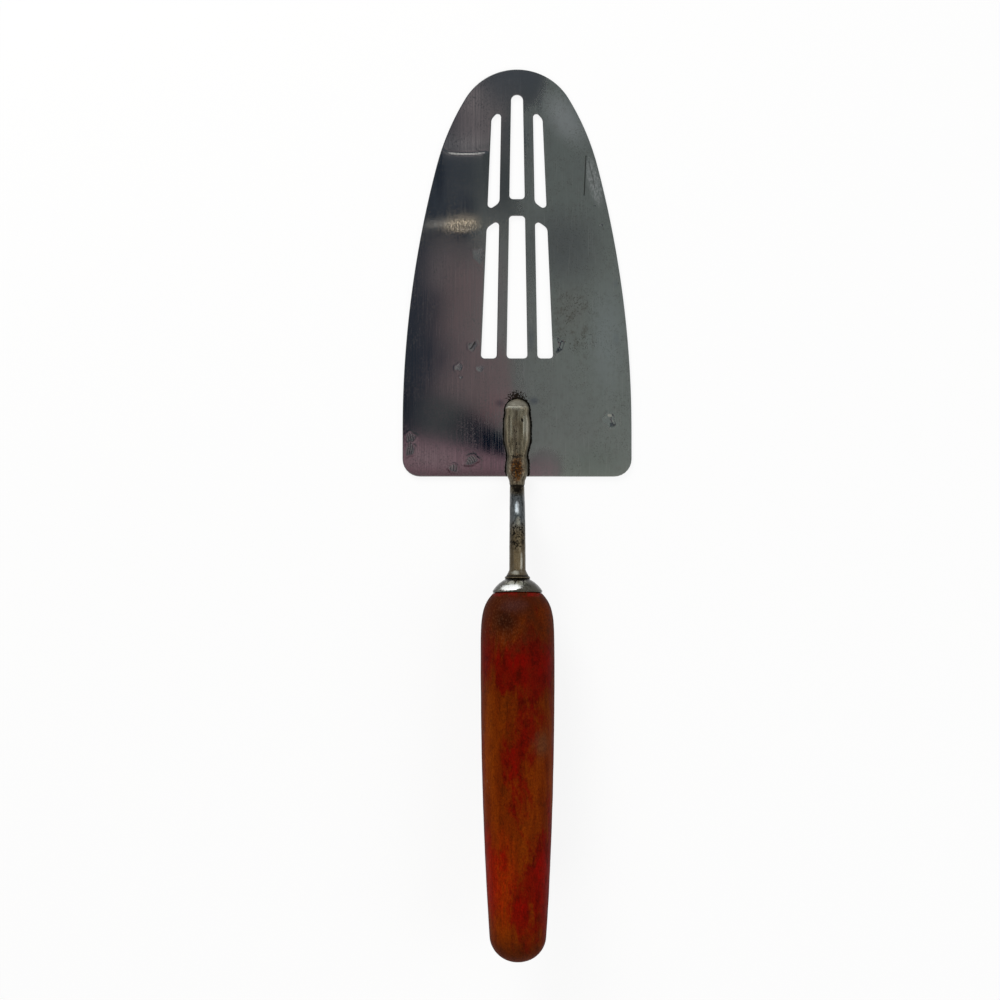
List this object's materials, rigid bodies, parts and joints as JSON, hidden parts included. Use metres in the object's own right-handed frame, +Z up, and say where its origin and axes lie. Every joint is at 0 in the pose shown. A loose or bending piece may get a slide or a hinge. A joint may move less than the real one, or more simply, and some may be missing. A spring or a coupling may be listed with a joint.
{
  "type": "slotted spatula",
  "caption": "Slotted kitchen spatula with a flat round-nosed steel blade, a cranked wire shank, a domed ferrule and a turned wooden handle.",
  "frame": {"origin": "under the middle of the tool's length and width, on the plane that the blade lies on", "axes": "+Y along the tool towards the blade's tip, +X across the blade, +Z up from the blade's upper face"},
  "size_m": [0.0762, 0.2888, 0.0326],
  "materials": {
    "blade_steel": "finely brushed lengthwise, worn, with small dents and grime",
    "shank_steel": "worn plating over forged wire, pitted and stained",
    "ferrule_steel": "worn bright plating",
    "handle_wood": "turned wood with worn red paint"
  },
  "bodies": {
    "root": {"blade": "blade_steel", "shank": "shank_steel", "ferrule": "ferrule_steel", "handle": "handle_wood"}
  },
  "joints": []
}
